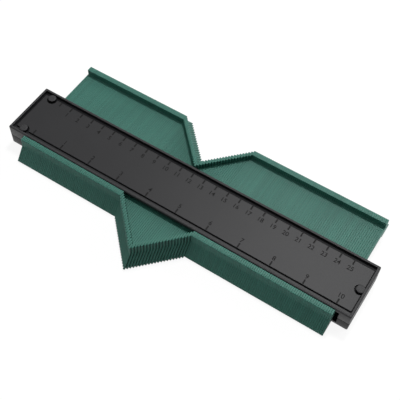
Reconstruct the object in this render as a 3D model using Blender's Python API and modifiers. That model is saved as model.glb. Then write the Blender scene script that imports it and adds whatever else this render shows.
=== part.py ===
import bpy
import bmesh
from math import radians

# Sizes in metres. X runs along the body, Y to the back, Z up. The body's underside is z = 0.

# The comb of tines, counted from the left.
left_flat_tines = 60
slope_tines = 19
right_flat_tines = 72
tines_per_block = 12
tine_pitch = 0.00152
tine_gap = 0.0001

# The body and the slot that the tines slide through.
body_width = 0.045
body_height = 0.0186
plate_thickness = 0.0025
left_end_length = 0.013
right_end_length = 0.0086
slot_room_left = 0.00254
slot_room_right = 0.00294
parting_height = 0.0088
parting_gap = 0.0003
edge_round = 0.0004

# The top face: a raised rim, a groove inside it, the field for the scales, and three round bosses.
rim_width = 0.002
groove_width = 0.0025
groove_depth = 0.0016
field_depth = 0.001
boss_radius = 0.0033
boss_drop = 0.0001

# The way a tine slides, and the step from one tine to the next in the notch shown.
travel = 0.032
lip_gap = 0.00035
notch_depth = 0.0315

# A tine's outline seen from the end of the body.
lip_thickness = 0.0044
lip_drop = 0.0001
lip_straight = 0.0074
lip_flare = 0.0085
tine_ground_gap = 0.0006

# The bar that joins the webs of a block of flat tines, always inside the body.
joining_bar_width = 0.01
joining_bar_height = 0.003

# The strips that hold the tines by friction, each in a shallow pocket of its cover.
strip_stand = 0.002
strip_inset = 0.0065
strip_end_room = 0.001
pocket_depth = 0.0005
clearance = 0.0003

# The screws that join the covers from below.
screw_side_inset = 0.0057
screw_slot_room_left = 0.0028
screw_slot_room_right = 0.003
screw_radius = 0.0013
screw_point = 0.0006
screw_roof = 0.0035
head_radius = 0.0026
head_height = 0.0016
cross_length = 0.0032
cross_width = 0.0007
cross_depth = 0.0009

# Values that follow from the sizes.
tine_count = left_flat_tines + 2 * slope_tines + 1 + right_flat_tines
apex_tine = left_flat_tines + slope_tines + 1
notch_step = notch_depth / (slope_tines + 1)
slot_length = slot_room_left + tine_count * tine_pitch + slot_room_right
body_length = left_end_length + slot_length + right_end_length
slot_left = left_end_length - body_length / 2
slot_right = slot_left + slot_length
comb_left = slot_left + slot_room_left
slot_bottom = plate_thickness
slot_top = body_height - plate_thickness
web_bottom = slot_bottom + strip_stand + clearance
web_top = slot_top - strip_stand - clearance
web_middle = (web_bottom + web_top) / 2
field_height = body_height - field_depth
screw_places = {
    "screw_left_back": (slot_left - screw_slot_room_left, body_width / 2 - screw_side_inset),
    "screw_left_front": (slot_left - screw_slot_room_left, screw_side_inset - body_width / 2),
    "screw_right": (slot_right + screw_slot_room_right, 0.0),
}

for old in list(bpy.data.objects):
    bpy.data.objects.remove(old, do_unlink=True)

gauge = bpy.data.collections.new("contour_gauge")
cutters = bpy.data.collections.new("cutters")
cutters.hide_render = True
for group in (gauge, cutters):
    bpy.context.scene.collection.children.link(group)


def place(obj, name, group):
    obj.name = name
    obj.data.name = name
    for other in list(obj.users_collection):
        other.objects.unlink(obj)
    group.objects.link(obj)
    if group is cutters:
        obj.hide_render = True
        obj.display_type = "WIRE"
    return obj


def apply_scale(obj):
    bpy.context.view_layer.update()
    for corner in obj.data.vertices:
        corner.co = [value * size for value, size in zip(corner.co, obj.scale)]
    obj.scale = (1, 1, 1)


def box(name, low, high, group):
    middle = [(a + b) / 2 for a, b in zip(low, high)]
    bpy.ops.mesh.primitive_cube_add(size=1, location=middle)
    obj = place(bpy.context.active_object, name, group)
    obj.scale = [b - a for a, b in zip(low, high)]
    apply_scale(obj)
    return obj


def cylinder(name, x, y, radius, bottom, top, group, sides=32):
    bpy.ops.mesh.primitive_cylinder_add(
        vertices=sides,
        radius=radius,
        depth=top - bottom,
        location=(x, y, (bottom + top) / 2),
    )
    return place(bpy.context.active_object, name, group)


def flat_outline(name, loops, thickness, location, turn, group):
    curve = bpy.data.curves.new(name, "CURVE")
    curve.dimensions = "2D"
    curve.fill_mode = "BOTH"
    curve.extrude = thickness / 2
    for loop in loops:
        spline = curve.splines.new("POLY")
        spline.points.add(len(loop) - 1)
        for point, (across, up) in zip(spline.points, loop):
            point.co = (across, up, 0, 1)
        spline.use_cyclic_u = True
    drawn = bpy.data.objects.new(name + "_curve", curve)
    drawn.location = location
    drawn.rotation_euler = turn
    bpy.context.scene.collection.objects.link(drawn)
    bpy.context.view_layer.update()
    mesh = bpy.data.meshes.new_from_object(drawn)
    edit = bmesh.new()
    edit.from_mesh(mesh)
    bmesh.ops.remove_doubles(edit, verts=edit.verts, dist=1e-6)
    bmesh.ops.recalc_face_normals(edit, faces=edit.faces)
    edit.to_mesh(mesh)
    edit.free()
    solid = bpy.data.objects.new(name, mesh)
    solid.matrix_world = drawn.matrix_world.copy()
    bpy.data.objects.remove(drawn, do_unlink=True)
    bpy.context.scene.collection.objects.link(solid)
    return place(solid, name, group)


def combine(obj, other, operation):
    boolean = obj.modifiers.new(operation.lower() + "_" + other.name, "BOOLEAN")
    boolean.operation = operation
    boolean.solver = "EXACT"
    boolean.object = other


def material(name, colour, roughness, metallic):
    made = bpy.data.materials.new(name)
    made.use_nodes = True
    made.diffuse_color = (*colour, 1)
    shader = made.node_tree.nodes["Principled BSDF"]
    shader.inputs["Base Color"].default_value = (*colour, 1)
    shader.inputs["Roughness"].default_value = roughness
    shader.inputs["Metallic"].default_value = metallic
    return made


def body_plastic(name):
    return material(name + "_plastic", (0.075, 0.075, 0.08), 0.55, 0)


def tine_plastic(name):
    return material(name + "_plastic", (0.075, 0.19, 0.155), 0.5, 0)


def strip_rubber(name):
    return material(name + "_rubber", (0.02, 0.02, 0.02), 0.9, 0)


def screw_steel(name):
    return material(name + "_steel", (0.55, 0.56, 0.57), 0.3, 1)


def round_edges(obj):
    bevel = obj.modifiers.new("rounded_edges", "BEVEL")
    bevel.width = edge_round
    bevel.segments = 2
    bevel.limit_method = "ANGLE"
    bevel.angle_limit = radians(40)


def cover_shell(name, flat_height, plate_height, end_height):
    half = body_length / 2
    outline = [
        (-half, flat_height),
        (half, flat_height),
        (half, end_height),
        (slot_right, end_height),
        (slot_right, plate_height),
        (slot_left, plate_height),
        (slot_left, end_height),
        (-half, end_height),
    ]
    turn = (radians(90), 0, 0)
    shell = flat_outline(name, [outline], body_width, (0, 0, 0), turn, gauge)
    round_edges(shell)
    shell.data.materials.append(body_plastic(name))
    return shell


def strip_span(room):
    left = slot_left + strip_end_room - room
    right = slot_right - strip_end_room + room
    side = body_width / 2 - strip_inset + room
    return left, right, side


def cut_pocket(shell, bottom, top):
    left, right, side = strip_span(clearance)
    pocket = box(shell.name + "_pocket", (left, -side, bottom), (right, side, top), cutters)
    combine(shell, pocket, "DIFFERENCE")


def cut_round(shell, label, radius, bottom, top):
    for screw, (x, y) in screw_places.items():
        hole = cylinder(screw + label, x, y, radius, bottom, top, cutters, 24)
        combine(shell, hole, "DIFFERENCE")


def make_top_cover():
    shell = cover_shell("top_cover", body_height, slot_top, parting_height + parting_gap / 2)
    inner_x = body_length / 2 - rim_width
    inner_y = body_width / 2 - rim_width
    low = body_height - groove_depth - clearance
    recess = box(
        "rim_recess",
        (-inner_x, -inner_y, body_height - groove_depth),
        (inner_x, inner_y, body_height + clearance),
        cutters,
    )
    combine(shell, recess, "DIFFERENCE")
    field = box(
        "scale_field",
        (groove_width - inner_x, groove_width - inner_y, low),
        (inner_x - groove_width / 3, inner_y - groove_width, field_height),
        cutters,
    )
    combine(shell, field, "UNION")
    cut_pocket(shell, slot_top - clearance, slot_top + pocket_depth)
    cut_round(shell, "_thread", screw_radius + clearance, 0, body_height - screw_roof)
    for screw, (x, y) in screw_places.items():
        boss = cylinder(screw + "_boss", x, y, boss_radius, low, body_height - boss_drop, cutters)
        combine(shell, boss, "UNION")


def make_bottom_cover():
    shell = cover_shell("bottom_cover", 0, slot_bottom, parting_height - parting_gap / 2)
    cut_pocket(shell, slot_bottom - pocket_depth, slot_bottom + clearance)
    cut_round(shell, "_hole", screw_radius + clearance, -clearance, parting_height)
    cut_round(shell, "_head_room", head_radius + clearance, -clearance, head_height + 2 * clearance)


def make_strips():
    left, right, side = strip_span(0)
    upper_top = slot_top + pocket_depth - clearance
    lower_bottom = slot_bottom - pocket_depth + clearance
    spans = {
        "upper_friction_strip": (slot_top - strip_stand, upper_top),
        "lower_friction_strip": (lower_bottom, slot_bottom + strip_stand),
    }
    for name, (bottom, top) in spans.items():
        strip = box(name, (left, -side, bottom), (right, side, top), gauge)
        strip.data.materials.append(strip_rubber(name))


def make_screw(name, x, y):
    tip = body_height - screw_roof - clearance - clearance
    profile = [
        (0, 0),
        (head_radius, 0),
        (head_radius, head_height),
        (screw_radius, head_height),
        (screw_radius, tip - screw_point),
        (screw_radius - screw_point, tip),
        (0, tip),
    ]
    mesh = bpy.data.meshes.new(name)
    corners = [(across, 0, up) for across, up in profile]
    mesh.from_pydata(corners, [(i, i + 1) for i in range(len(profile) - 1)], [])
    screw = bpy.data.objects.new(name, mesh)
    screw.location = (x, y, clearance)
    bpy.context.scene.collection.objects.link(screw)
    place(screw, name, gauge)
    turned = screw.modifiers.new("turned", "SCREW")
    turned.steps = 24
    turned.render_steps = 24
    turned.use_merge_vertices = True
    turned.merge_threshold = 1e-6
    turned.use_normal_calculate = True
    long = cross_length / 2
    thin = cross_width / 2
    for label, wide, deep in (("_cross_x", long, thin), ("_cross_y", thin, long)):
        low = (x - wide, y - deep, 0)
        high = (x + wide, y + deep, clearance + cross_depth)
        combine(screw, box(name + label, low, high, cutters), "DIFFERENCE")
    screw.data.materials.append(screw_steel(name))


def tine_outline():
    inner = (body_width + travel) / 2 + lip_gap
    outer = inner + lip_thickness
    top = body_height - lip_drop - web_middle
    knee = top - lip_straight
    bottom = tine_ground_gap - web_middle
    half_web = (web_top - web_bottom) / 2
    back = [
        (inner, -half_web),
        (inner, bottom),
        (outer + lip_flare, bottom),
        (outer, knee),
        (outer, top),
        (inner, top),
        (inner, half_web),
    ]
    front = [(-across, up) for across, up in reversed(back)]
    return back + front


def steps_forward(tine):
    return max(0, slope_tines + 1 - abs(tine - apex_tine))


def make_tine(name, tine):
    thickness = tine_pitch - tine_gap
    location = (
        comb_left + (tine - 1) * tine_pitch + thickness / 2,
        travel / 2 - steps_forward(tine) * notch_step,
        web_middle,
    )
    turn = (radians(90), 0, radians(90))
    made = flat_outline(name, [tine_outline()], thickness, location, turn, gauge)
    made.data.materials.append(tine_plastic(name))
    return made


def make_tine_block(first, last):
    name = f"tines_{first:03d}_{last:03d}"
    block = make_tine(name, first)
    row = block.modifiers.new("row_of_tines", "ARRAY")
    row.count = last - first + 1
    row.use_relative_offset = False
    row.use_constant_offset = True
    row.constant_offset_displace = (0, 0, tine_pitch)
    x, y, z = block.location
    side = joining_bar_width / 2
    half = joining_bar_height / 2
    far = x + (last - first) * tine_pitch
    bar = box(name + "_bar", (x, y - side, z - half), (far, y + side, z + half), cutters)
    combine(block, bar, "UNION")


def make_flat_tines(first, last):
    for start in range(first, last + 1, tines_per_block):
        make_tine_block(start, min(start + tines_per_block - 1, last))


make_top_cover()
make_bottom_cover()
make_strips()
for screw_name, (screw_x, screw_y) in screw_places.items():
    make_screw(screw_name, screw_x, screw_y)
make_flat_tines(1, left_flat_tines)
for tine_number in range(left_flat_tines + 1, left_flat_tines + 2 * slope_tines + 2):
    make_tine(f"tine_{tine_number:03d}", tine_number)
make_flat_tines(left_flat_tines + 2 * slope_tines + 2, tine_count)
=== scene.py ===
from math import cos, pi, radians, sin, tan

import bpy
from mathutils import Matrix, Vector


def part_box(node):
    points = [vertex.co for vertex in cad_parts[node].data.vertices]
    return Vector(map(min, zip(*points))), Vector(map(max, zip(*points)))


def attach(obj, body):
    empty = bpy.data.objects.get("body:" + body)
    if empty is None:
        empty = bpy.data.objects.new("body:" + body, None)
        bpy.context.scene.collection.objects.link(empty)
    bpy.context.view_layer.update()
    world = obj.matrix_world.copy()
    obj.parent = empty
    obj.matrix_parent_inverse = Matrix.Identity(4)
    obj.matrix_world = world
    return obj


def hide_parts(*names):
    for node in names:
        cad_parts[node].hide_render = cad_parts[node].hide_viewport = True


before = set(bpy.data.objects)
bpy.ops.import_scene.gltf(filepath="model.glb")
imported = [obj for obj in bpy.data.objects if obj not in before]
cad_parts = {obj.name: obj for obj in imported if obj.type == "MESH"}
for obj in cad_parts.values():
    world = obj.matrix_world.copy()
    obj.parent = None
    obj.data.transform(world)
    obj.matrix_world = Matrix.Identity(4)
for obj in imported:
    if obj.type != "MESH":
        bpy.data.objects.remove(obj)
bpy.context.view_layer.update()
print("stage: frame loaded")

scene = bpy.context.scene
gaugeCollection = bpy.data.collections.new("contourGaugeLooks")
scene.collection.children.link(gaugeCollection)


# Materials: every pattern reads Object coordinates, so it stays on its piece

def shaderTree(name):
    material = bpy.data.materials.new(name)
    material.use_nodes = True
    tree = material.node_tree
    return material, tree, tree.nodes["Principled BSDF"]


def axesOf(tree, kind):
    place = tree.nodes.new("ShaderNodeTexCoord")
    split = tree.nodes.new("ShaderNodeSeparateXYZ")
    tree.links.new(place.outputs[kind], split.inputs["Vector"])
    return split.outputs


def noiseOf(tree, scale, detail):
    place = tree.nodes.new("ShaderNodeTexCoord")
    noise = tree.nodes.new("ShaderNodeTexNoise")
    noise.inputs["Scale"].default_value = scale
    noise.inputs["Detail"].default_value = detail
    tree.links.new(place.outputs["Object"], noise.inputs["Vector"])
    return noise.outputs["Fac"]


# 0 at low, 1 at high, and nothing past them
def between(tree, socket, low, high):
    share = tree.nodes.new("ShaderNodeMapRange")
    share.inputs["From Min"].default_value = low
    share.inputs["From Max"].default_value = high
    tree.links.new(socket, share.inputs["Value"])
    return share.outputs["Result"]


# A noise from 0 to 1 becomes a value from middle - spread to middle + spread
def spreadAround(tree, socket, middle, spread):
    share = tree.nodes.new("ShaderNodeMapRange")
    share.inputs["To Min"].default_value = middle - spread
    share.inputs["To Max"].default_value = middle + spread
    tree.links.new(socket, share.inputs["Value"])
    return share.outputs["Result"]


def calculated(tree, operation, first, second=0.0):
    step = tree.nodes.new("ShaderNodeMath")
    step.operation = operation
    for socket, value in zip(step.inputs, (first, second)):
        if isinstance(value, float):
            socket.default_value = value
        else:
            tree.links.new(value, socket)
    return step.outputs["Value"]


def blended(tree, share, first, second):
    blend = tree.nodes.new("ShaderNodeMix")
    tree.links.new(share, blend.inputs["Factor"])
    for socket, value in ((blend.inputs["A"], first), (blend.inputs["B"], second)):
        if isinstance(value, float):
            socket.default_value = value
        else:
            tree.links.new(value, socket)
    return blend.outputs["Result"]


# 1 for what the camera sees straight, in a shiny surface or through glass
def seenOrReflected(tree):
    path = tree.nodes.new("ShaderNodeLightPath")
    glossy = path.outputs["Is Glossy Ray"]
    mirrored = calculated(tree, "MAXIMUM", glossy, path.outputs["Is Transmission Ray"])
    return calculated(tree, "MAXIMUM", path.outputs["Is Camera Ray"], mirrored)


def mouldedPlastic(name, look):
    material, tree, shader = shaderTree(name)
    nodes = tree.nodes
    links = tree.links
    grain = noiseOf(tree, look["grainScale"], 4.0)
    cloud = noiseOf(tree, look["cloudScale"], 2.0)
    tint = nodes.new("ShaderNodeMix")
    tint.data_type = "RGBA"
    tint.inputs["A"].default_value = (*look["dark"], 1)
    tint.inputs["B"].default_value = (*look["light"], 1)
    links.new(between(tree, cloud, 0.35, 0.65), tint.inputs["Factor"])  # the noise stays mostly in here
    links.new(tint.outputs["Result"], shader.inputs["Base Color"])
    rough = spreadAround(tree, grain, look["roughness"], look["roughnessSpread"])
    links.new(rough, shader.inputs["Roughness"])
    bump = nodes.new("ShaderNodeBump")
    bump.inputs["Strength"].default_value = look["bump"]
    bump.inputs["Distance"].default_value = look["grainHeight"]
    links.new(grain, bump.inputs["Height"])
    links.new(bump.outputs["Normal"], shader.inputs["Normal"])
    shader.inputs["Specular IOR Level"].default_value = look["specular"]
    return material


# The rim, the field and the outer walls of the body shine differently; the grooves at the back and the
# ends and the groove's walls are made dull, which is painted shade
def bodyPlastic(look):
    material = mouldedPlastic("bodyPlastic", look)
    tree = material.node_tree
    links = tree.links
    shader = tree.nodes["Principled BSDF"]
    place = axesOf(tree, "Object")
    facing = axesOf(tree, "Normal")
    rim = between(tree, place["Z"], *look["rimLevel"])
    upwards = between(tree, facing["Z"], *look["upwards"])
    groove = between(tree, place["Z"], *look["grooveLevel"])
    # Painted shade: the groove loses its sheen except at the front, where the lamp reaches it
    paintedShadeGroove = calculated(tree, "MULTIPLY", groove, between(tree, place["Y"], *look["frontGroove"]))
    rough = shader.inputs["Roughness"].links[0].from_socket
    added = calculated(tree, "MULTIPLY", rim, look["rimRoughness"])
    links.new(calculated(tree, "ADD", rough, added), shader.inputs["Roughness"])
    grooveLevel = blended(tree, paintedShadeGroove, look["fieldSpecular"], look["paintedShadeSpecular"])
    topLevel = blended(tree, rim, grooveLevel, look["rimSpecular"])
    across = between(tree, calculated(tree, "ABSOLUTE", place["Y"]), *look["wallAcross"])
    along = between(tree, calculated(tree, "ABSOLUTE", place["X"]), *look["wallAlong"])
    inside = calculated(tree, "MULTIPLY", across, along)
    # Painted shade: the upright walls inside the groove lose their sheen too
    sideLevel = blended(tree, inside, look["specular"], look["paintedShadeSpecular"])
    level = blended(tree, upwards, sideLevel, topLevel)
    links.new(level, shader.inputs["Specular IOR Level"])
    return material


# Every tine has its own slight random tone, and the sides of the front lips that face right are darkened
# with painted shade
def tinePlastic(look):
    material = mouldedPlastic("tinePlastic", look)
    tree = material.node_tree
    nodes = tree.nodes
    links = tree.links
    shader = nodes["Principled BSDF"]
    cloudTint = shader.inputs["Base Color"].links[0].from_socket
    place = axesOf(tree, "Object")
    facing = axesOf(tree, "Normal")
    pitches = calculated(tree, "DIVIDE", place["X"], look["pitch"])
    shifted = calculated(tree, "SUBTRACT", pitches, look["firstEdge"] / look["pitch"])
    chance = nodes.new("ShaderNodeTexWhiteNoise")
    chance.noise_dimensions = "1D"
    links.new(calculated(tree, "FLOOR", shifted), chance.inputs["W"])
    shade = spreadAround(tree, chance.outputs["Value"], 1.0, look["tineSpread"])
    # Painted shade: faces in the front half that face right get a darker base colour, as if the light
    # did not reach them
    front = between(tree, place["Y"], *look["frontHalf"])
    right = between(tree, facing["X"], *look["facingRight"])
    frontPaintedShade = calculated(tree, "MULTIPLY", front, look["rightSidesPaintedShade"])
    paintedShadeOnRightSides = calculated(tree, "MULTIPLY", right, frontPaintedShade)
    scaled = nodes.new("ShaderNodeMix")
    scaled.data_type = "RGBA"
    scaled.blend_type = "MULTIPLY"
    scaled.inputs["Factor"].default_value = 1.0
    links.new(cloudTint, scaled.inputs["A"])
    links.new(calculated(tree, "SUBTRACT", shade, paintedShadeOnRightSides), scaled.inputs["B"])
    links.new(scaled.outputs["Result"], shader.inputs["Base Color"])
    return material


def brushedSteel(look):
    material, tree, shader = shaderTree("screwSteel")
    wear = noiseOf(tree, look["wearScale"], 2.0)
    rough = spreadAround(tree, wear, look["roughness"], look["roughnessSpread"])
    tree.links.new(rough, shader.inputs["Roughness"])
    shader.inputs["Base Color"].default_value = (*look["color"], 1)
    shader.inputs["Metallic"].default_value = 1.0
    return material


bodyLook = {
    "dark": (0.0100, 0.0100, 0.0113),
    "light": (0.0124, 0.0124, 0.0138),
    "roughness": 0.46,
    "roughnessSpread": 0.04,
    "grainScale": 1600.0,
    "cloudScale": 25.0,
    "bump": 0.25,
    "grainHeight": 0.00005,
    "specular": 0.36,
    "rimLevel": (0.0179, 0.0182),  # heights that part the rim from the field
    "rimRoughness": 0.12,
    "grooveLevel": (0.0174, 0.0171),  # heights that part the field from the groove
    "upwards": (0.3, 0.7),
    "wallAcross": (0.0212, 0.0209),  # inside these the upright faces are the groove's walls, dulled as painted shade
    "wallAlong": (0.1422, 0.1419),
    # in front of this the groove keeps its sheen and gets no painted shade
    "frontGroove": (-0.0186, -0.0183),
    "fieldSpecular": 0.22,
    "rimSpecular": 0.32,
    # the dull level that paints shade into the grooves and their walls
    "paintedShadeSpecular": 0.05,
}
tineLook = {
    "dark": (0.024, 0.130, 0.099),
    "light": (0.029, 0.143, 0.110),
    "roughness": 0.55,
    "roughnessSpread": 0.04,
    "grainScale": 900.0,
    "cloudScale": 30.0,
    "bump": 0.1,
    "grainHeight": 0.00005,
    "specular": 0.36,
    # how much painted shade darkens the right-facing sides of the front lips
    "rightSidesPaintedShade": 0.55,
    "frontHalf": (0.0, -0.01),
    "facingRight": (0.5, 0.95),
    "pitch": 0.00152,
    "firstEdge": -0.12801,
    "tineSpread": 0.07,
}
markLook = {
    "dark": (0.003, 0.003, 0.003),
    "light": (0.005, 0.005, 0.005),
    "roughness": 0.6,
    "roughnessSpread": 0.05,
    "grainScale": 1200.0,
    "cloudScale": 60.0,
    "bump": 0.1,
    "grainHeight": 0.00005,
    "specular": 0.12,
}
rubberLook = {
    "dark": (0.012, 0.012, 0.012),
    "light": (0.020, 0.020, 0.020),
    "roughness": 0.85,
    "roughnessSpread": 0.05,
    "grainScale": 700.0,
    "cloudScale": 80.0,
    "bump": 0.4,
    "grainHeight": 0.00005,
    "specular": 0.3,
}
steelLook = {
    "color": (0.60, 0.61, 0.62),
    "roughness": 0.3,
    "roughnessSpread": 0.08,
    "wearScale": 900.0,
}

bodyMaterial = bodyPlastic(bodyLook)
tineMaterial = tinePlastic(tineLook)
markMaterial = mouldedPlastic("scaleMarks", markLook)
rubberMaterial = mouldedPlastic("stripRubber", rubberLook)
steelMaterial = brushedSteel(steelLook)
print("stage: materials")


# Shapes: a shell is a list of vertices and a list of faces

def addObject(name, mesh, material):
    obj = bpy.data.objects.new(name, mesh)
    gaugeCollection.objects.link(obj)
    mesh.materials.clear()
    mesh.materials.append(material)
    return obj


# Each corner becomes an arc of its own radius
def filleted(points, radii, steps):
    outline = []
    for index, radius in enumerate(radii):
        before = Vector(points[index - 1])
        corner = Vector(points[index])
        after = Vector(points[(index + 1) % len(points)])
        toBefore = (before - corner).normalized()
        toAfter = (after - corner).normalized()
        half = toBefore.angle(toAfter) / 2
        reach = radius / tan(half)
        start = corner + toBefore * reach
        end = corner + toAfter * reach
        middle = corner + (toBefore + toAfter).normalized() * (radius / sin(half))
        first = (start - middle).normalized()
        last = (end - middle).normalized()
        for step in range(steps + 1):
            outline.append(tuple(middle + first.slerp(last, step / steps) * radius))
    return outline


def insetOutline(outline, distance):
    moved = []
    count = len(outline)
    for index in range(count):
        before = Vector(outline[index - 1])
        here = Vector(outline[index])
        after = Vector(outline[(index + 1) % count])
        first = (here - before).normalized()
        last = (after - here).normalized()
        normal = Vector((-first.y - last.y, first.x + last.x))
        normal.normalize()
        moved.append(tuple(here + normal * distance))
    return moved


# Skins a stack of loops that have as many points, and closes both ends
def loftLoops(loops):
    vertices = [point for loop in loops for point in loop]
    count = len(loops[0])
    faces = []
    for level in range(len(loops) - 1):
        for index in range(count):
            here = level * count + index
            right = level * count + (index + 1) % count
            faces.append((here, right, right + count, here + count))
    faces.append(tuple(reversed(range(count))))
    faces.append(tuple(range((len(loops) - 1) * count, len(loops) * count)))
    return vertices, faces


smoothAngle = radians(32)  # steeper edges stay sharp


def meshOfShells(name, shells):
    vertices = []
    faces = []
    for shellVertices, shellFaces in shells:
        base = len(vertices)
        vertices += shellVertices
        faces += [tuple(base + index for index in face) for face in shellFaces]
    mesh = bpy.data.meshes.new(name)
    mesh.from_pydata(vertices, [], faces)
    mesh.validate()
    mesh.update()
    mesh.shade_smooth()
    mesh.set_sharp_from_angle(angle=smoothAngle)
    return mesh


def roundedRectangle(left, right, front, back, radii, height, steps=4):
    corners = [(left, front), (right, front), (right, back), (left, back)]
    return [(x, y, height) for x, y in filleted(corners, radii, steps)]


def turnedShell(x, y, profile, sides=48):
    loops = []
    for radius, height in profile:
        loops.append([
            (x + radius * cos(2 * pi * i / sides), y + radius * sin(2 * pi * i / sides), height)
            for i in range(sides)
        ])
    return loftLoops(loops)


def copiesInARow():
    tree = bpy.data.node_groups.new("copiesInARow", "GeometryNodeTree")
    sockets = [
        ("Geometry", "INPUT", "NodeSocketGeometry"),
        ("Count", "INPUT", "NodeSocketInt"),
        ("Start", "INPUT", "NodeSocketVector"),
        ("Step", "INPUT", "NodeSocketVector"),
        ("Material", "INPUT", "NodeSocketMaterial"),
        ("Geometry", "OUTPUT", "NodeSocketGeometry"),
    ]
    for name, side, kind in sockets:
        tree.interface.new_socket(name=name, in_out=side, socket_type=kind)
    given = tree.nodes.new("NodeGroupInput")
    line = tree.nodes.new("GeometryNodeMeshLine")
    line.mode = "OFFSET"
    copies = tree.nodes.new("GeometryNodeInstanceOnPoints")
    real = tree.nodes.new("GeometryNodeRealizeInstances")
    painted = tree.nodes.new("GeometryNodeSetMaterial")
    made = tree.nodes.new("NodeGroupOutput")
    link = tree.links.new
    link(given.outputs["Count"], line.inputs["Count"])
    link(given.outputs["Start"], line.inputs["Start Location"])
    link(given.outputs["Step"], line.inputs["Offset"])
    link(line.outputs["Mesh"], copies.inputs["Points"])
    link(given.outputs["Geometry"], copies.inputs["Instance"])
    link(copies.outputs["Instances"], real.inputs["Geometry"])
    link(real.outputs["Geometry"], painted.inputs["Geometry"])
    link(given.outputs["Material"], painted.inputs["Material"])
    link(painted.outputs["Geometry"], made.inputs["Geometry"])
    return tree


rowTree = copiesInARow()
rowSockets = {
    item.name: item.identifier
    for item in rowTree.interface.items_tree
    if item.in_out == "INPUT"
}


# A closed shell with the holes cut out of it
def carved(shell, holes):
    solid = addObject("carvedSolid", meshOfShells("carvedSolid", [shell]), bodyMaterial)
    cutter = addObject("carvedHoles", meshOfShells("carvedHoles", holes), bodyMaterial)
    cut = solid.modifiers.new("holes", "BOOLEAN")
    cut.operation = "DIFFERENCE"
    cut.solver = "EXACT"
    cut.object = cutter
    bpy.context.view_layer.update()
    graph = bpy.context.evaluated_depsgraph_get()
    mesh = bpy.data.meshes.new_from_object(solid.evaluated_get(graph))
    vertices = [tuple(vertex.co) for vertex in mesh.vertices]
    faces = [tuple(face.vertices) for face in mesh.polygons]
    bpy.data.objects.remove(solid, do_unlink=True)
    bpy.data.objects.remove(cutter, do_unlink=True)
    return vertices, faces


# One mesh of copies, with its place in the mesh and its object at the origin
def rowOf(name, mesh, count, start, step, material):
    source = bpy.data.objects.new(name + "Source", mesh)
    gaugeCollection.objects.link(source)
    modifier = source.modifiers.new("row", "NODES")
    modifier.node_group = rowTree
    modifier[rowSockets["Count"]] = count
    modifier[rowSockets["Start"]] = start
    modifier[rowSockets["Step"]] = step
    modifier[rowSockets["Material"]] = material
    bpy.context.view_layer.update()
    graph = bpy.context.evaluated_depsgraph_get()
    made = bpy.data.meshes.new_from_object(source.evaluated_get(graph))
    bpy.data.objects.remove(source, do_unlink=True)
    return addObject(name, made, material)


# The body: two shells that meet at the parting line

body = {
    "length": 0.287,
    "width": 0.045,
    "height": 0.0186,
    "plate": 0.0025,
    "slotLeft": -0.1305,  # the tines' slot ends here, at the end blocks
    "slotRight": 0.1349,
    "parting": 0.0088,
    "partingGap": 0.00016,  # the fine line between the shells
    "cornerRadius": 0.0009,
    "edge": 0.0004,
    "topEdge": 0.0009,
    "rim": 0.002,
    "rimEdge": 0.0003,
    "grooveWidth": 0.0028,
    "grooveLeft": 0.0018,
    "grooveRight": 0.0004,
    "grooveDepth": 0.0021,
    "grooveFoot": 0.0001,
    "fieldDepth": 0.001,
    "fieldEdge": 0.0002,
    "fieldCorner": 0.0006,
}


def rimLoop(inset, height, radius):
    right = body["length"] / 2 - inset
    back = body["width"] / 2 - inset
    return roundedRectangle(-right, right, -back, back, [radius] * 4, height)


# The groove round the field is wide along the body and narrow at its ends
def fieldLoop(inset, height):
    halfX = body["length"] / 2 - body["rim"]
    halfY = body["width"] / 2 - body["rim"] - body["grooveWidth"]
    left = body["grooveLeft"] + inset - halfX
    right = halfX - body["grooveRight"] - inset
    radii = [body["fieldCorner"]] * 4
    return roundedRectangle(left, right, inset - halfY, halfY - inset, radii, height)


def endBlock(side, low, high, partingAtTop):
    halfX = body["length"] / 2
    halfY = body["width"] / 2
    edge = body["edge"]
    tiny = 0.00002  # nearly sharp where the block faces the slot
    corner = body["cornerRadius"]

    def level(inset, height):
        if side < 0:
            sides = (inset - halfX, body["slotLeft"])
            radii = [corner, tiny, tiny, corner]
        else:
            sides = (body["slotRight"], halfX - inset)
            radii = [tiny, corner, corner, tiny]
        return roundedRectangle(*sides, inset - halfY, halfY - inset, radii, height)

    rounding = [(0, edge), (edge * 0.3, edge * 0.3), (edge, 0)]
    if partingAtTop:
        return loftLoops([level(0, low)] + [level(inset, high - drop) for inset, drop in rounding])
    return loftLoops([level(inset, low + rise) for inset, rise in reversed(rounding)] + [level(0, high)])


def topShell():
    top = body["height"]
    low = top - body["plate"]
    edge = body["topEdge"]
    rim = body["rim"]
    soft = body["rimEdge"]
    corner = body["cornerRadius"]
    floor = top - body["grooveDepth"]
    field = top - body["fieldDepth"]
    foot = body["grooveFoot"]
    fieldEdge = body["fieldEdge"]
    loops = [rimLoop(0, low, corner)]
    steps = 5
    for step in range(steps + 1):
        turn = radians(90 * step / steps)
        height = top - edge * (1 - sin(turn))
        loops.append(rimLoop(edge * (1 - cos(turn)), height, corner * (1 - 0.25 * step / steps)))
    loops += [
        rimLoop(rim - soft, top, corner * 0.7),
        rimLoop(rim - soft * 0.3, top - soft * 0.3, corner * 0.65),
        rimLoop(rim, top - soft, corner * 0.6),
        rimLoop(rim + foot * 0.4, floor + foot * 2, corner * 0.6),
        rimLoop(rim + foot, floor, corner * 0.5),
        fieldLoop(-foot, floor),
        fieldLoop(0, field - fieldEdge),
        fieldLoop(fieldEdge, field),
    ]
    return loftLoops(loops)


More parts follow.
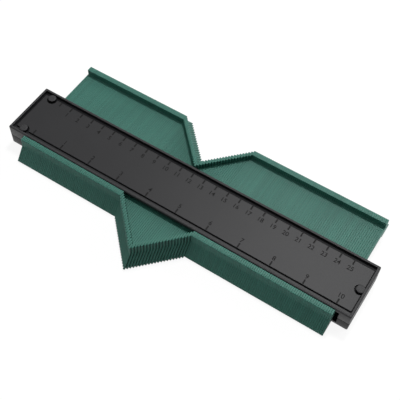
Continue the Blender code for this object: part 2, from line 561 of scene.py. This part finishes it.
# Three round bosses, each in a narrow ring recess that lies a little to one side
bosses = {
    "places": [(-0.1333, 0.0168), (-0.1333, -0.0172), (0.1389, 0.0)],
    "ringPlaces": [(-0.1327, 0.0160), (-0.1325, -0.0179), (0.1388, -0.0005)],
    "radius": 0.0031,
    "ringRadius": 0.0040,
    "ringFloor": 0.01625,
    "ringTop": 0.01765,
    "foot": 0.01615,
    "edge": 0.0003,
    "top": 0.0185,
}


def ringShells():
    radius = bosses["ringRadius"]
    profile = [(radius, bosses["ringFloor"]), (radius, bosses["ringTop"])]
    return [turnedShell(x, y, profile) for x, y in bosses["ringPlaces"]]


def bossShells():
    radius = bosses["radius"]
    edge = bosses["edge"]
    top = bosses["top"]
    profile = [
        (radius, bosses["foot"]),
        (radius, top - edge),
        (radius - edge * 0.3, top - edge * 0.3),
        (radius - edge, top),
        (radius * 0.5, top),
    ]
    return [turnedShell(x, y, profile) for x, y in bosses["places"]]


def buildTopCover():
    low = body["parting"] + body["partingGap"] / 2
    high = body["height"] - body["plate"]
    shells = [carved(topShell(), ringShells())]
    shells += [endBlock(side, low, high, False) for side in (-1, 1)]
    shells += bossShells()
    mesh = meshOfShells("topCoverLooks", shells)
    obj = addObject("topCoverLooks", mesh, bodyMaterial)
    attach(obj, "body")
    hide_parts("top_cover")


screwRecess = {
    "places": [(-0.1333, 0.0168), (-0.1333, -0.0168), (0.1379, 0.0)],
    "radius": 0.0029,
    "depth": 0.0022,
    "edge": 0.0002,
    "below": -0.0005,  # the cutter starts under the shell
}


def buildBottomCover():
    high = body["parting"] - body["partingGap"] / 2
    plateTop = body["plate"]
    edge = body["edge"]
    corner = body["cornerRadius"]
    plate = loftLoops([
        rimLoop(edge, 0, corner * 0.8),
        rimLoop(edge * 0.3, edge * 0.3, corner),
        rimLoop(0, edge, corner),
        rimLoop(0, plateTop, corner),
    ])
    radius = screwRecess["radius"]
    rim = screwRecess["edge"]
    holes = []
    for x, y in screwRecess["places"]:
        holes.append(turnedShell(x, y, [
            (radius + rim, screwRecess["below"]),
            (radius + rim, 0.0),
            (radius, rim),
            (radius, screwRecess["depth"]),
        ]))
    shells = [carved(plate, holes)]
    shells += [endBlock(side, plateTop, high, True) for side in (-1, 1)]
    mesh = meshOfShells("bottomCoverLooks", shells)
    obj = addObject("bottomCoverLooks", mesh, bodyMaterial)
    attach(obj, "body")
    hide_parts("bottom_cover")


buildTopCover()
buildBottomCover()
print("stage: body shells")


# The tines: one outline, repeated along the slot

tine = {
    "pitch": 0.00152,
    "thickness": 0.00145,
    "chamfer": 0.00013,
    "notchThickness": 0.0014,
    "notchChamfer": 0.00018,
    "firstMiddle": -0.12725,  # the middle of the leftmost tine
    "halfSpan": 0.03885,  # from a tine's middle to the inner face of its lips
    "lip": 0.0044,
    "top": 0.0185,
    "knee": 0.0111,
    "flare": 0.0085,  # how far the lip leans out from its knee to its foot
    "bottom": 0.0006,
    "webTop": 0.0138,
    "webBottom": 0.0048,
}


def tineOutline():
    inner = tine["halfSpan"]
    outer = inner + tine["lip"]
    back = [
        ((inner, tine["webBottom"]), 0.0005),
        ((inner, tine["bottom"]), 0.0004),
        ((outer + tine["flare"], tine["bottom"]), 0.0003),
        ((outer, tine["knee"]), 0.003),
        ((outer, tine["top"]), 0.0004),
        ((inner, tine["top"]), 0.00025),
        ((inner, tine["webTop"]), 0.0002),
    ]
    front = [((-across, up), radius) for (across, up), radius in reversed(back)]
    corners = back + front
    return filleted([corner for corner, radius in corners], [radius for corner, radius in corners], 3)


def tineMesh(thickness, chamfer):
    outline = tineOutline()
    small = insetOutline(outline, chamfer)
    half = thickness / 2
    shallow = half - chamfer
    loops = []
    for shape, x in ((small, -half), (outline, -shallow), (outline, shallow), (small, half)):
        loops.append([(x, y, z) for y, z in shape])
    return meshOfShells("tine", [loftLoops(loops)])


def buildTines():
    flatMesh = tineMesh(tine["thickness"], tine["chamfer"])
    notchMesh = tineMesh(tine["notchThickness"], tine["notchChamfer"])
    for node in sorted(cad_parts):
        if not node.startswith("tine"):
            continue
        numbers = [int(word) for word in node.split("_")[1:]]
        low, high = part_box(node)
        count = numbers[-1] - numbers[0] + 1
        middleY = (low.y + high.y) / 2
        firstX = tine["firstMiddle"] + (numbers[0] - 1) * tine["pitch"]
        start = (firstX, middleY, 0)
        name = "tineLooks" + "To".join(str(number) for number in numbers)
        mesh = flatMesh if count > 1 else notchMesh
        obj = rowOf(name, mesh, count, start, (tine["pitch"], 0, 0), tineMaterial)
        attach(obj, "slider_" + node)
        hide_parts(node)


buildTines()
print("stage: tines")


# The strips lie inside and the screws' heads show only from below, so the frame's own pieces stay

keptPieces = {
    "upper_friction_strip": rubberMaterial,
    "lower_friction_strip": rubberMaterial,
    "screw_left_back": steelMaterial,
    "screw_left_front": steelMaterial,
    "screw_right": steelMaterial,
}
for node, material in keptPieces.items():
    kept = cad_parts[node]
    kept.data.materials.clear()
    kept.data.materials.append(material)


# Scale marks: plain ticks and numbers

marks = {
    "zero": -0.1243,
    "centimetre": 0.01002,
    "centimetres": 25,
    "inch": 0.02545,
    "inches": 10,
    "tickWidth": 0.0011,
    "centimetreTick": (0.0139, 0.0174),
    "inchTick": (-0.0173, -0.0135),
    "centimetreNumber": 0.0104,
    "inchNumber": -0.0111,
    "numberSize": 0.0049,
    "numberWeight": 0.00007,
    "field": 0.0176,
    "height": 0.00004,
    "sunk": 0.0001,
    "tickCorner": 0.0001,
}


def tickMesh(name, span):
    half = marks["tickWidth"] / 2
    front, back = span
    low = marks["field"] - marks["sunk"]
    high = marks["field"] + marks["height"]
    radii = [marks["tickCorner"]] * 4
    loops = [roundedRectangle(-half, half, front, back, radii, height, 2) for height in (low, high)]
    return meshOfShells(name, [loftLoops(loops)])


def numberShell(text, x, y):
    curve = bpy.data.curves.new("number", "FONT")
    curve.body = text
    curve.size = marks["numberSize"]
    curve.align_x = "CENTER"
    curve.align_y = "CENTER"
    curve.offset = marks["numberWeight"]
    curve.extrude = marks["height"] / 2
    curve.resolution_u = 4
    drawn = bpy.data.objects.new("number", curve)
    drawn.location = (x, y, marks["field"] + marks["height"] / 2)
    gaugeCollection.objects.link(drawn)
    bpy.context.view_layer.update()
    graph = bpy.context.evaluated_depsgraph_get()
    mesh = bpy.data.meshes.new_from_object(drawn.evaluated_get(graph))
    mesh.transform(drawn.matrix_world)
    bpy.data.objects.remove(drawn, do_unlink=True)
    vertices = [tuple(vertex.co) for vertex in mesh.vertices]
    faces = [tuple(face.vertices) for face in mesh.polygons]
    bpy.data.meshes.remove(mesh)
    return vertices, faces


def buildMarks():
    for name, plural in (("centimetre", "centimetres"), ("inch", "inches")):
        step = marks[name]
        count = marks[plural]
        span = marks[name + "Tick"]
        numberY = marks[name + "Number"]
        ticks = rowOf(
            name + "Ticks",
            tickMesh(name + "Tick", span),
            count + 1,  # the zero has a tick and no number
            (marks["zero"], 0, 0),
            (step, 0, 0),
            markMaterial,
        )
        shells = [numberShell(str(n), marks["zero"] + n * step, numberY) for n in range(1, count + 1)]
        numbers = addObject(name + "Numbers", meshOfShells(name + "Numbers", shells), markMaterial)
        for obj in (ticks, numbers):
            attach(obj, "body")


buildMarks()
print("stage: scale marks")


# Floor, background, lamps and camera

# The room's light comes mostly from the left and from above, and less from the front

stageLook = {
    "floorSize": 6.0,
    "floorLevel": -0.0002,
    "floorGlow": 1.06,
    "floorWhite": 0.85,
    "floorColor": (0.85, 0.85, 0.85),
    "worldLeft": 0.38,
    "worldRight": 0.12,
    "worldAbove": 0.18,
    "worldFrontLoss": 0.22,
}


def buildFloor():
    half = stageLook["floorSize"] / 2
    mesh = bpy.data.meshes.new("floor")
    corners = [(-half, -half), (half, -half), (half, half), (-half, half)]
    mesh.from_pydata([(x, y, stageLook["floorLevel"]) for x, y in corners], [], [(0, 1, 2, 3)])
    material, tree, shader = shaderTree("floorWhite")
    shader.inputs["Base Color"].default_value = (*stageLook["floorColor"], 1)
    shader.inputs["Roughness"].default_value = 1.0
    shader.inputs["Specular IOR Level"].default_value = 0.0
    white = tree.nodes.new("ShaderNodeEmission")
    white.inputs["Strength"].default_value = stageLook["floorGlow"]
    share = calculated(tree, "MULTIPLY", seenOrReflected(tree), stageLook["floorWhite"])
    blend = tree.nodes.new("ShaderNodeMixShader")
    tree.links.new(share, blend.inputs["Fac"])
    tree.links.new(shader.outputs["BSDF"], blend.inputs[1])
    tree.links.new(white.outputs["Emission"], blend.inputs[2])
    tree.links.new(blend.outputs["Shader"], tree.nodes["Material Output"].inputs["Surface"])
    floor = bpy.data.objects.new("floor", mesh)
    mesh.materials.append(material)
    scene.collection.objects.link(floor)


def buildWorld():
    world = bpy.data.worlds.new("whiteRoom")
    scene.world = world
    world.use_nodes = True
    tree = world.node_tree
    background = tree.nodes["Background"]
    facing = axesOf(tree, "Generated")
    rightwards = between(tree, facing["X"], -1.0, 1.0)
    upwards = between(tree, facing["Z"], 0.3, 1.0)
    forwards = between(tree, facing["Y"], 0.3, -0.7)
    side = blended(tree, rightwards, stageLook["worldLeft"], stageLook["worldRight"])
    above = calculated(tree, "MULTIPLY", upwards, stageLook["worldAbove"])
    front = calculated(tree, "MULTIPLY", forwards, stageLook["worldFrontLoss"])
    room = calculated(tree, "SUBTRACT", calculated(tree, "ADD", side, above), front)
    strength = calculated(tree, "MAXIMUM", room, seenOrReflected(tree))
    tree.links.new(strength, background.inputs["Strength"])
    background.inputs["Color"].default_value = (1, 1, 1, 1)


lamps = {
    "keyLamp": {"place": (-0.10, 1.00, 2.10), "size": 0.35, "power": 32.0},
    "backPanel": {"place": (0.80, 1.00, 0.50), "size": 0.6, "power": 9.0},
    "frontPanel": {"place": (-1.00, -0.80, 0.50), "size": 0.8, "power": 1.2},
}


# Each lamp points at the gauge
def buildLamps():
    for name, lamp in lamps.items():
        light = bpy.data.lights.new(name, "AREA")
        light.size = lamp["size"]
        light.energy = lamp["power"]
        obj = bpy.data.objects.new(name, light)
        obj.location = lamp["place"]
        obj.rotation_euler = (-Vector(lamp["place"])).to_track_quat("-Z", "Y").to_euler()
        scene.collection.objects.link(obj)


# Place and axes of the photo's camera, with the focal length in pixels of the photo
camera = {
    "place": (0.1696, -0.2565, 0.4852),
    "right": (0.84141, 0.54022, 0.01392),
    "down": (0.46022, -0.70283, -0.54243),
    "forward": (-0.28325, 0.46281, -0.83999),
    "focal": 785.8,
    "pictureWidth": 400,
    "sensor": 36.0,
}


def buildCamera():
    data = bpy.data.cameras.new("photoCamera")
    data.sensor_width = camera["sensor"]
    data.lens = camera["focal"] / camera["pictureWidth"] * camera["sensor"]
    data.clip_start = 0.01
    data.clip_end = 20
    obj = bpy.data.objects.new("photoCamera", data)
    turn = Matrix((
        Vector(camera["right"]),
        -Vector(camera["down"]),
        -Vector(camera["forward"]),
    )).transposed()
    obj.matrix_world = Matrix.Translation(camera["place"]) @ turn.to_4x4()
    scene.collection.objects.link(obj)
    scene.camera = obj


buildFloor()
buildWorld()
buildLamps()
buildCamera()
scene.view_settings.view_transform = "Standard"
print("stage: floor, lamps, camera")
